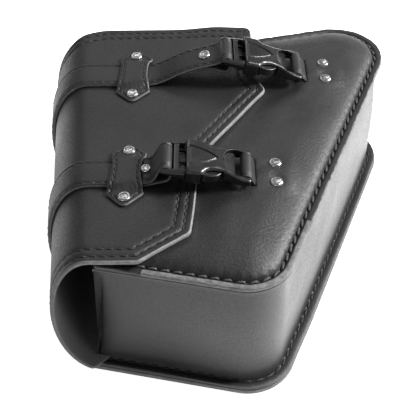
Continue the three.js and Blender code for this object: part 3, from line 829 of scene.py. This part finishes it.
def flap_shape(ring, out):
    """Places a ring of the unrolled flap, with the leather's slow waves and the lifted far corner."""
    u, y = ring[:, 0], ring[:, 1]
    flat = ease(u - line_x(y), -40, 10)
    pts = with_z(ring, 0)
    edge = -flap_edge_distance(u, y)
    near_edge = 1 - ease(edge, 0, 24)
    wave = 0.22 * ripple(pts, 40.0, 21) + near_edge * flat * (0.35 + 0.45 * ripple(pts, 26.0, 22))
    lift = 2.6 * np.exp(-((u - 6) / 20) ** 2) * ease(y, 112, 140)
    return flap_point(u, y, out + (np.maximum(wave, -0.15) + lift) * np.maximum(flat, 0.5))


root_near = (float(line_x(-111)) - (SPINE_LENGTH - 8), -111.0, 4.0)
root_in_near = (float(line_x(-98)) - (SPINE_LENGTH + 8), -98.0, 3.0)
root_in_far = (float(line_x(114)) - (SPINE_LENGTH + 8), 114.0, 3.0)
root_far = (float(line_x(140)) - (SPINE_LENGTH - 8), 140.0, 4.0)
flap_outline = Outline(
    [root_near, (-39.6, -111, 7), (-8.6, -85.8, 7), (-4.6, -38.6, 6), (-3.4, -12.5, 9), (42.6, 61.5, 7),
     (34.4, 80, 9), (31.1, 140, 6), root_far, root_in_far, root_in_near],
    [90, 16, 20, 10, 38, 8, 26, 110, 8, 90, 8], [3, 6, 6, 3, 5, 7, 4, 7, 3, 3, 3])


def flap_ring(inset):
    r = flap_outline.ring(inset)
    along = r[:, 1]
    sway = 0.7 * np.sin(along / 17.0) * ease(r[:, 0], -36, 0) * (1 - ease(inset, 8, 30))
    curve = -1.6 * np.sin(pi * np.clip((along + 12.5) / 74, 0, 1)) * (1 - ease(inset, 10, 40))
    round_spine = 12.0 * ease(line_x(along) - r[:, 0], -18, 24) * ease(along, 40, 140)
    return r + np.column_stack([sway + curve, -round_spine])


def groove(inset):
    """Height of the outer face near the edge: rounded rim and two stitch channels."""
    table = [(0.0, -0.8), (0.3, -0.3), (0.9, -0.04), (2.0, 0.0), (3.9, -0.05), (4.4, -0.4), (5.0, -0.7),
             (5.6, -0.4), (6.2, 0.0), (7.2, 0.18), (8.8, 0.2), (9.9, 0.02), (10.6, -0.35), (11.2, -0.7),
             (11.8, -0.35), (12.6, 0.0), (15.0, FLAP_SWELL)]
    t = np.array(table)
    return np.interp(inset, t[:, 0], t[:, 1])


surface_insets = [0.0, 0.3, 0.9, 2.0, 3.9, 4.4, 5.0, 5.6, 6.2, 7.2, 8.8, 9.9, 10.6, 11.2, 11.8, 12.6,
                  15.0, 20.0]
middle = np.array([-100.0, 14.0])
last = flap_ring(20.0)


def level(ring, out):
    """A ring of the flap's skin at one height over the flap's nominal face."""
    return flap_shape(ring, np.full(len(ring), out))[0]


rings = []
shares = np.linspace(1, 0, 60)
for share in shares[:0:-1][1:]:
    rings.append(level(middle + (last - middle) * share, -FLAP_THICK))
for inset in (20.0, 12.0, 6.0, 2.5, 0.8, 0.2):
    rings.append(level(flap_ring(inset), -FLAP_THICK + (0.15 if inset < 0.5 else 0.0)))
bottom_rings = len(rings)
for inset in surface_insets:
    r = flap_ring(inset)
    if inset == 0.0:
        rings += [level(r, -FLAP_THICK + 0.5), level(r, -1.7)]
    rings.append(level(r, groove(inset)))
for share in shares[1:-1]:
    rings.append(level(middle + (last - middle) * share, FLAP_SWELL))
points, faces = loft(rings, level(middle[None], -FLAP_THICK)[0], level(middle[None], FLAP_SWELL)[0])
count = len(last)
index = np.zeros(len(faces), int)
# the flap's underside takes the flesh-side colour, made lighter as painted fill light
index[:(bottom_rings - 1) * count] = 3
index[-2 * count:-count] = 3
# the flap's free edge gets the lighter raw-edge copy, a painted highlight where it catches the light; the
# ends at the spine keep the grey raw edge
edge_ring = flap_ring(0.0)
pale = (edge_ring[:, 0] > line_x(edge_ring[:, 1]) - 12) & (edge_ring[:, 1] < 139)
for r in range(bottom_rings - 1, bottom_rings + 4):
    index[r * count:(r + 1) * count] = np.where(pale, 1, 2)
flap_skin = link_mesh("flap_skin", points, faces, [FLAP_SKIN, EDGE_PALE_LIT, EDGE_GREY, FLESH_WITH_PAINTED_FILL], index)
finish_piece(flap_skin, None, ["flap", "flap_root"])


def bend(obj):
    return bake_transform(obj)


bend(flap_skin)
for row, inset in (("outer", 5.0), ("inner", 11.2)):
    r = flap_ring(inset)
    a, b = flap_outline.span(0, 8)
    if row == "inner":
        a, b = a + 1, b - 1
    pts, ups = flap_shape(r[a:b], np.full(b - a, -0.62))
    seam = stitch_row(f"flap_stitches_{row}", pts, ups, FLAP_PITCH, 4.9, 0.64, lift=0.12, trim=4)
    bend(seam)


# ---- rivets
def rivet(name, place, body, nodes, radius=CAP, depth=2.2):
    profile = [(0, -depth), (1.6, -depth), (1.6, -0.02), (radius * 0.97, 0.0), (radius, 0.28),
               (radius * 0.98, 0.62), (radius * 0.92, 1.05), (radius * 0.83, 1.38),
               (radius * 0.72, 1.5), (radius * 0.62, 1.42), (radius * 0.5, 1.2), (radius * 0.3, 1.05),
               (0, 1.0)]
    obj = lathe(name, profile, place, [STEEL])
    return finish_piece(obj, body, nodes)


def at_point(x, y, z):
    return lambda p: p + np.array([x, y, z])


# ---- straps and keepers
section = strap_section(STRAP_HALF, STRAP_THICK)
KEEPER = Outline(
    [(0, -32.4, 4), (12.4, -19.8, 2.5), (9.7, -5, 26), (9.7, 7, 26), (12.4, 20.6, 2.5), (0, 32.0, 4),
     (-12.4, 20.6, 2.5), (-10.0, 7, 26), (-10.0, -5, 26), (-12.4, -19.8, 2.5)],
    [8, 7, 4, 7, 8, 8, 7, 4, 7, 8], [5, 4, 3, 3, 4, 5, 4, 3, 3, 4])
KEEPER_THICK = 2.05
KEEPER_MIDDLE = KEEPER.ring(5.5)
# inset and height round the edge: underside, raw edge, rounded rim, stitch channel
KEEPER_EDGE = [(5.5, 0.1), (1.0, 0.1), (0.25, 0.2), (0, 0.6), (0, 1.3), (0.3, 1.75), (1.0, 1.95), (1.9, 1.95),
               (2.3, 1.6), (2.8, 1.6), (3.2, 1.98), (4.2, KEEPER_THICK), (5.5, KEEPER_THICK)]


def keeper_z(ring):
    """Underside of a keeper: flat on the flap, arched over the strap, dimpled at its rivets."""
    z = STRAP_FACE + 3.35 * (1 - ease(np.abs(ring[:, 1]), 11.6, 18.2))
    for side in (-1, 1):
        z = z - 0.25 * np.exp(-(np.hypot(ring[:, 0], ring[:, 1] - side * KEEPER_PITCH) / 5.5) ** 2)
    return z


for line in LINES:
    name = line["name"]
    y0 = line["y"]
    line_at = float(line_x(y0))
    end_u = line["keeper"] + 8.6
    d = np.arange(SPINE_LENGTH - 14, line_at - end_u - 0.5, -2.2)
    d = np.append(d, line_at - end_u)
    path = np.stack(spine_at(d, STRAP_GAP + STRAP_THICK / 2)[:2], 1)

    def place(x, y, z, y0=y0):
        y = y + y0
        x, y, z = np.broadcast_arrays(x, y, z)
        return np.stack([x - LEAN * (y - FLAP_NEAR), y, z], -1)

    strap = band(f"{name}_strap_band", path, section, place, EDGE_GREY)
    finish_piece(strap, None, [f"{name}_strap"])
    bend(strap)
    x, z, nx, nz = spine_at(d, STRAP_GAP + STRAP_THICK - 0.4)
    strap_seams(f"{name}_strap_stitches", np.stack([x, z], 1), np.stack([nx, nz], 1), place, bend,
                FLAP_PITCH, 4.6, 0.55, 0.0, 2)
    steps = [(KEEPER_MIDDLE * share, 0.1) for share in (0.25, 0.5, 0.75)]
    steps += [(KEEPER.ring(inset), height) for inset, height in KEEPER_EDGE]
    steps += [(KEEPER_MIDDLE * share, KEEPER_THICK) for share in (0.85, 0.7, 0.55, 0.4, 0.25, 0.1)]
    rings = [with_z(r, keeper_z(r) + height) for r, height in steps]
    zero = keeper_z(np.zeros((1, 2)))[0]
    points, faces = loft(rings, (0, 0, zero + 0.1), (0, 0, zero + KEEPER_THICK))
    count = len(rings[0])
    index = np.zeros(len(faces), int)
    index[6 * count:8 * count] = 1
    points = np.asarray(points) + np.array([line["keeper"], y0, 0])
    keeper = link_mesh(f"{name}_keeper_patch", points, faces, [STRAP_SKIN, EDGE_GREY], index)
    finish_piece(keeper, "flap", [f"{name}_keeper"])
    r = KEEPER.ring(2.55)
    r = np.vstack([r, r[:1]])
    path = with_z(r, keeper_z(r) + 1.6) + np.array([line["keeper"], y0, 0])
    row = stitch_row(f"{name}_keeper_stitches", path, upward(path), 5.6, 4.2, 0.48, lift=0.3)
    finish_piece(row, "flap")
    for i, side in enumerate((-1, 1)):
        place = at_point(line["keeper"], y0 + side * KEEPER_PITCH, KEEPER_CAP_Z)
        rivet(f"{name}_keeper_cap_{i + 1}", place, "flap", [f"{name}_keeper_rivet_{i + 1}"], depth=4.0)


# ---- buckles
def interp(table, x):
    t = np.array(table, float)
    return float(np.interp(x, t[:, 0], t[:, 1]))


def superloft(name, stations, width, height, power=7.0, sides=48, drop=0.0):
    """Crowned body: a rounded section at each station along X."""
    a = 2 * pi * (np.arange(sides) + 0.5) / sides
    c, s = np.cos(a), np.sin(a)
    rings = []
    for x in stations:
        w, h = interp(width, x), interp(height, x)
        y = w * np.sign(c) * np.abs(c) ** (2 / power)
        z = (h - drop) * np.sign(s) * np.abs(s) ** (2 / power)
        rings.append(np.stack([np.full(sides, x), y, z], 1))
    points, faces = loft(rings, (stations[0], 0, 0), (stations[-1], 0, 0))
    return link_mesh(name, points, faces, [NYLON], shift=False)


def block(x0, x1, y0, y1, z0, z1, top=None):
    """Box, or with `top` a box whose upper face runs from z=top[0] at x0 to z=top[1] at x1."""
    t0, t1 = top if top else (z1, z1)
    p = [(x0, y0, z0), (x1, y0, z0), (x1, y1, z0), (x0, y1, z0), (x0, y0, t0), (x1, y0, t1),
         (x1, y1, t1), (x0, y1, t0)]
    return link_mesh("tool", p, BOX_FACES, [NYLON], shift=False)


def plate(outline, z0, z1):
    """Upright prism of an outline in the buckle's own plane."""
    o = np.array(outline, float)
    rings = [np.column_stack([o, np.full(len(o), z)]) for z in (z0, z1)]
    n = len(o)
    points = np.concatenate(rings)
    faces = [tuple(range(n)), tuple(range(n, 2 * n))]
    faces += [(i, (i + 1) % n, n + (i + 1) % n, n + i) for i in range(n)]
    return link_mesh("tool", points, faces, [NYLON], shift=False)


def bar(x, z, r, half):
    a = 2 * pi * np.arange(24) / 24
    rings = [np.stack([x + r * np.cos(a), np.full(24, y), z + r * np.sin(a)], 1) for y in (-half, half)]
    points, faces = loft(rings, (x, -half, z), (x, half, z))
    return link_mesh("tool", points, faces, [NYLON], shift=False)


def seat(obj, line):
    """Moves a buckle piece from its own frame to its place."""
    turn = Matrix.Rotation(radians(line["yaw"]), 4, "Z") @ Matrix.Rotation(radians(line["tilt"]), 4, "Y")
    at = (np.array([line["mouth"], line["mouth_y"], line["mouth_z"]]) + SHIFT) * MM
    obj.data.transform(Matrix.Translation(at) @ turn)
    obj.data.materials.clear()
    obj.data.materials.append(NYLON)
    obj.data.polygons.foreach_set("material_index", np.zeros(len(obj.data.polygons), np.int32))
    return obj


SOCKET_WIDTH = [
    (0, 16.4), (0.5, 17.0), (1.5, 17.2), (9.6, 17.1), (10.6, 16.5), (11.6, 15.1), (13, 13.4), (15, 12.2),
    (19, 11.3), (24, 11.5), (28, 12.3), (31, 13.3), (34, 14.6), (37, 15.8), (39.5, 16.3), (42.2, 16.3),
    (43.1, 15.9), (43.5, 15.2)]
SOCKET_HEIGHT = [(0, 5.6), (0.6, 6.1), (1.6, 6.3), (19, 6.2), (23, 5.6), (27, 5.1), (31, 4.3), (35, 3.5),
                 (38, 3.0), (43, 2.7), (43.5, 2.3)]


def bullet(grow):
    half = [(1.2 - grow, 9.4 + grow), (5, 8.9 + grow), (9, 7.8 + grow), (13, 6.1 + grow), (17, 3.7 + grow),
            (19.6 + grow * 0.5, 1.7 + grow * 0.6), (21.2 + grow, 0)]
    curve = spline(half, 0.8)
    return np.concatenate([curve * [1, -1], curve[-2::-1]])


def socket_mesh(name):
    stations = [0, 0.3, 0.8, 1.6, 4, 7, 9.6, 10.2, 10.8, 11.4, 12.2, 13, 14, 15, 17, 19, 21, 23, 25, 27,
                29, 31, 33, 35, 37, 38.5, 40, 41.5, 42.5, 43.1, 43.5]
    body = superloft(name, stations, SOCKET_WIDTH, SOCKET_HEIGHT)
    # an engraved line, and a shallow field inside it
    line_cut = plate(bullet(0.0), 2, 9)
    boolean(line_cut, plate(bullet(-1.15), 1, 10))
    for cut, drop in ((line_cut, 1.1), (plate(bullet(-0.9), 2, 9), 0.45)):
        boolean(cut, superloft("inner", stations, SOCKET_WIDTH, SOCKET_HEIGHT, drop=drop))
        boolean(body, cut)
    # room for the tongue and a window for each arm
    for box in ((-1, 25.2, -13.4, 13.4, -3.6, 3.6),
                (9.8, 25.2, 9.5, 18, -3.5, 3.5), (9.8, 25.2, -18, -9.5, -3.5, 3.5)):
        boolean(body, block(*box))
    # D-shaped thumb recess with a sloping floor
    a = pi / 2 + pi * np.arange(25) / 24
    bowl = np.stack([33.9 + 9.3 * np.cos(a), 12.9 * np.sin(a)], 1)
    bowl = np.vstack([[(36, 12.9)], bowl, [(36, -12.9)]])
    ramp = block(23.5, 36.2, -15, 15, -9, 0, top=(4.1, -2.4))
    hollow = plate(bowl, -8, 9)
    boolean(hollow, ramp)
    boolean(body, hollow)
    # slot for the strap, and the end bar cut back on all sides
    for box in ((33.6, 38.9, -12.6, 12.6, -9, 9), (42.75, 60, -12.9, 12.9, -9, 9),
                (33.6, 60, -12.6, 12.6, 2.0, 9), (33.6, 60, -12.6, 12.6, -9, -2.0)):
        boolean(body, block(*box))
    return soften(body, 0.32, 2)


TONGUE_WIDTH = [(-16.9, 13.6), (-16.5, 14.6), (-15.6, 15.3), (-12, 15.8), (-8, 16.2), (-3, 16.5),
                (-0.9, 16.5), (-0.35, 16.1)]
TONGUE_HEIGHT = [(-16.9, 1.6), (-16, 2.3), (-13, 2.9), (-8, 3.6), (-3, 4.5), (-0.35, 4.9)]


def tongue_mesh(name):
    stations = [-16.9, -16.5, -15.8, -15, -13, -11, -9, -8, -6, -4, -2, -0.9, -0.35]
    body = superloft(name, stations, TONGUE_WIDTH, TONGUE_HEIGHT, power=3.6)
    for x0, x1, z0 in ((-20, -8.1, -9), (-4.5, 2, -9), (-9, -3, 2.7)):
        boolean(body, block(x0, x1, -SLOT_HALF, SLOT_HALF, z0, 9))
    boolean(body, bar(FOLD_BAR_X, 0, 1.85, SLOT_HALF + 0.9), "UNION")
    # centre guide, its narrow tip, and the web that carries it
    for box in ((-6, 21.4, -2.5, 2.5, -2.3, 0.4), (20, 22.6, -2.0, 2.0, -1.5, 0.2),
                (-6, 0.5, -8.3, 8.3, -2.3, -1.0)):
        boolean(body, block(*box), "UNION")
    return soften(body, 0.34, 3)


def arm_mesh(side):
    t = np.linspace(0, 1, 12)
    bulge = 13.4 + 2.7 * np.sin(pi * np.minimum(1, 0.12 + t * 0.88)) ** 0.7
    outer = np.stack([10.4 + 11.8 * t, bulge], 1)
    head = np.vstack([[(9.9, 8.9), (16, 8.6), (22.8, 9.2), (24, 10.4), (23.6, 12)], outer[::-1],
                      [(9.9, 11.8)]])
    beam = np.array([(-4.4, 9.4), (8, 9.2), (12, 9), (12, 11.8), (-4.4, 11.8)])
    flip = np.array([1, side])
    body = plate(head * flip, -2.9, 2.9)
    boolean(body, plate(beam * flip, -2.0, 0.6), "UNION")
    return soften(body, 0.34, 4)


for line in LINES:
    name = line["name"]
    place = upright(line)
    tilt = radians(line["tilt"])
    socket = seat(socket_mesh(f"{name}_socket"), line)
    finish_piece(socket, "bag_body", [f"{name}_female"])
    tongue = seat(tongue_mesh(f"{name}_tongue_frame"), line)
    finish_piece(tongue, f"{name}_tongue", [f"{name}_male"])
    for i, side in enumerate((-1, 1)):
        arm = seat(arm_mesh(side), line)
        finish_piece(arm, f"{name}_arm_{i + 1}", [f"{name}_arm_{i + 1}"])

    # anchor strap: up out of the slit, round the socket's end bar and down again
    bx = END_BAR_X * cos(tilt)
    ring = [(bx + LOOP_RADIUS * cos(radians(a)), END_BAR_Z + LOOP_RADIUS * sin(radians(a)))
            for a in (275, 250, 220, 180, 140, 100, 60, 25, -8)]
    path = spline([(53.0, 103.9), (49.2, 104.6), (46.6, 107.0), (45.1, 110.0), (43.4, 112.8)] + ring +
                  [(45.2, 113.4), (46.6, 110.4), (48.0, 107.6), (50.4, 106.0), (53.5, 105.7)], 0.9)
    section = strap_section(STRAP_HALF, 1.6, groove=0.25, layers=False)
    anchor = band(f"{name}_anchor_loop", path, section, place, EDGE_DARK)
    finish_piece(anchor, "bag_body", [f"{name}_anchor_strap"])
    for i, side in enumerate((-1, 1)):
        x, y = place(ANCHOR_RIVET_X, side * ANCHOR_RIVET_Y, 0)[:2]
        rivet(f"{name}_anchor_cap_{i + 1}", at_point(x, y, ANCHOR_TOP - 1.15), "bag_body",
              [f"{name}_anchor_rivet_{i + 1}"], depth=6)

    # tail: over and round the tongue's outer bar, and back below itself
    fx = FOLD_BAR_X * cos(tilt)
    fz = line["mouth_z"] - FOLD_BAR_X * sin(tilt)
    ring = [(fx + LOOP_RADIUS * cos(radians(a)), fz + LOOP_RADIUS * sin(radians(a)))
            for a in (135, 95, 55, 15, -20)]
    path = spline(line["over"] + ring + line["under"][::-1], 1.0)
    section = strap_section(STRAP_HALF, 2.4, groove=0.35)
    tail = band(f"{name}_tail_band", path, section, place, EDGE_GREY)
    finish_piece(tail, None, [f"{name}_tail"])
    # ends of the stretch from where the flap stops holding the tail to where the tongue takes it along; drag
    # only bakes the tail's transform
    reach = (line["hold"], line["rivet"][0] - 6 if name == "far" else fx - 4)
    ends = [(place(x, 0, 120.0) + SHIFT) * MM for x in reach]

    def drag(obj, name=name, ends=ends):
        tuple(ends[0])
        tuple(ends[1])
        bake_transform(obj)

    drag(tail)
    upper = path[path[:, 0] < fx - 2.5]
    upper = upper[:len(spline(line["over"], 1.0)) - 2]
    normals = side_normals(upper)
    strap_seams(f"{name}_tail_stitches", upper + normals * 0.85, normals, place, drag,
                6.0, 4.3, 0.56, 0.05, 1)
    slope = radians(line["slope"])

    def cap_place(p, line=line, slope=slope, place=place):
        x = line["rivet"][0] + p[:, 0] * cos(slope) - p[:, 2] * sin(slope)
        z = line["rivet"][1] + p[:, 0] * sin(slope) + p[:, 2] * cos(slope)
        return place(x, p[:, 1], z)

    rivet(f"{name}_tail_cap", cap_place, line["rivet_on"], [f"{name}_tail_rivet"], radius=line["cap"],
          depth=2.0)

# ---- linings that stay as CAD nodes
for board in ("back_board", "front_board"):
    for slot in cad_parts[board].material_slots:
        slot.material = BOARD

# ---- camera
TARGET = np.array([0.0, 0.0, 52.5])
DISTANCE = 772.47
elevation, azimuth, roll = map(radians, (43.52, 2.27, -1.73))
back_axis = np.array([sin(azimuth) * cos(elevation), -cos(azimuth) * cos(elevation), sin(elevation)])
right0 = np.array([cos(azimuth), sin(azimuth), 0.0])
up0 = np.cross(back_axis, right0)
right_axis = cos(roll) * right0 + sin(roll) * up0
up_axis = -sin(roll) * right0 + cos(roll) * up0
camera_data = bpy.data.cameras.new("camera")
camera_data.sensor_width = 36.0
camera_data.lens = 1063.54 * 36.0 / 416.0
camera_data.clip_end = 20.0
camera = add("camera", camera_data)
where = (TARGET + back_axis * DISTANCE + SHIFT) * MM
camera.matrix_world = Matrix([[right_axis[i], up_axis[i], back_axis[i], where[i]] for i in range(3)]
                             + [[0, 0, 0, 1]])
bpy.context.scene.camera = camera

# ---- studio
world = bpy.data.worlds.new("studio")
world.use_nodes = True
put(world.node_tree.nodes["Background"], Color=(1, 1, 1, 1), Strength=0.3)
bpy.context.scene.world = world


def softbox(name, direction, distance, size, power):
    light = bpy.data.lights.new(name, "AREA")
    light.shape = "RECTANGLE"
    light.size, light.size_y = size
    light.energy = power
    d = Vector(direction).normalized()
    where = Matrix.Translation(d * distance + Vector((0, 0, 0.06)))
    add(name, light).matrix_world = where @ d.to_track_quat("Z", "Y").to_matrix().to_4x4()


softbox("key_right", (0.73, 0.17, 0.6), 1.4, (0.5, 0.9), 28.0)
softbox("corner_spot", (0.8, 0.1, 0.6), 1.5, (0.28, 0.28), 36.0)
softbox("top_back", (-0.15, 0.75, 0.62), 1.8, (0.9, 0.5), 4.0)
softbox("left_edge", (-0.9, 0.1, 0.3), 1.6, (0.5, 0.9), 0.8)
softbox("front_low", (-0.35, -0.85, 0.3), 1.7, (0.9, 0.4), 3.0)

# the floor glows though it is no lamp: its emission is painted light
floor_material, tree, shader, coords = material("glowing_floor_paper")
grain = noise_node(tree, coords, 300.0, 3.0)
tree.links.new(mixed(tree, grain, 0.88, 0.9), shader.inputs["Base Color"])
put(shader, Roughness=0.9, Emission_Color=(1, 1, 1, 1))
across = node(tree, "SeparateXYZ")
tree.links.new(coords, across.inputs["Vector"])
# painted light: emission fades down towards the left and the front and glows up towards the right
left_fade = spread(tree, across.outputs["X"], 0.3, 0.85, -0.34, -0.17)
front_fade = spread(tree, across.outputs["Y"], 0.35, 1.0, -0.34, -0.18)
right_glow = spread(tree, across.outputs["X"], 0.0, 0.6, 0.02, 0.16)
glow = node(tree, "Math")
glow.operation = "MULTIPLY_ADD"
for socket, value in zip(glow.inputs, (left_fade, front_fade, right_glow)):
    tree.links.new(value, socket)
tree.links.new(glow.outputs["Value"], shader.inputs["Emission Strength"])
floor_corners = [(x, y, -0.4) for x, y in ((-6000, -6000), (6000, -6000), (6000, 6000), (-6000, 6000))]
floor = link_mesh("floor", floor_corners, [(0, 1, 2, 3)], [floor_material])
bpy.context.scene.view_settings.view_transform = "Standard"
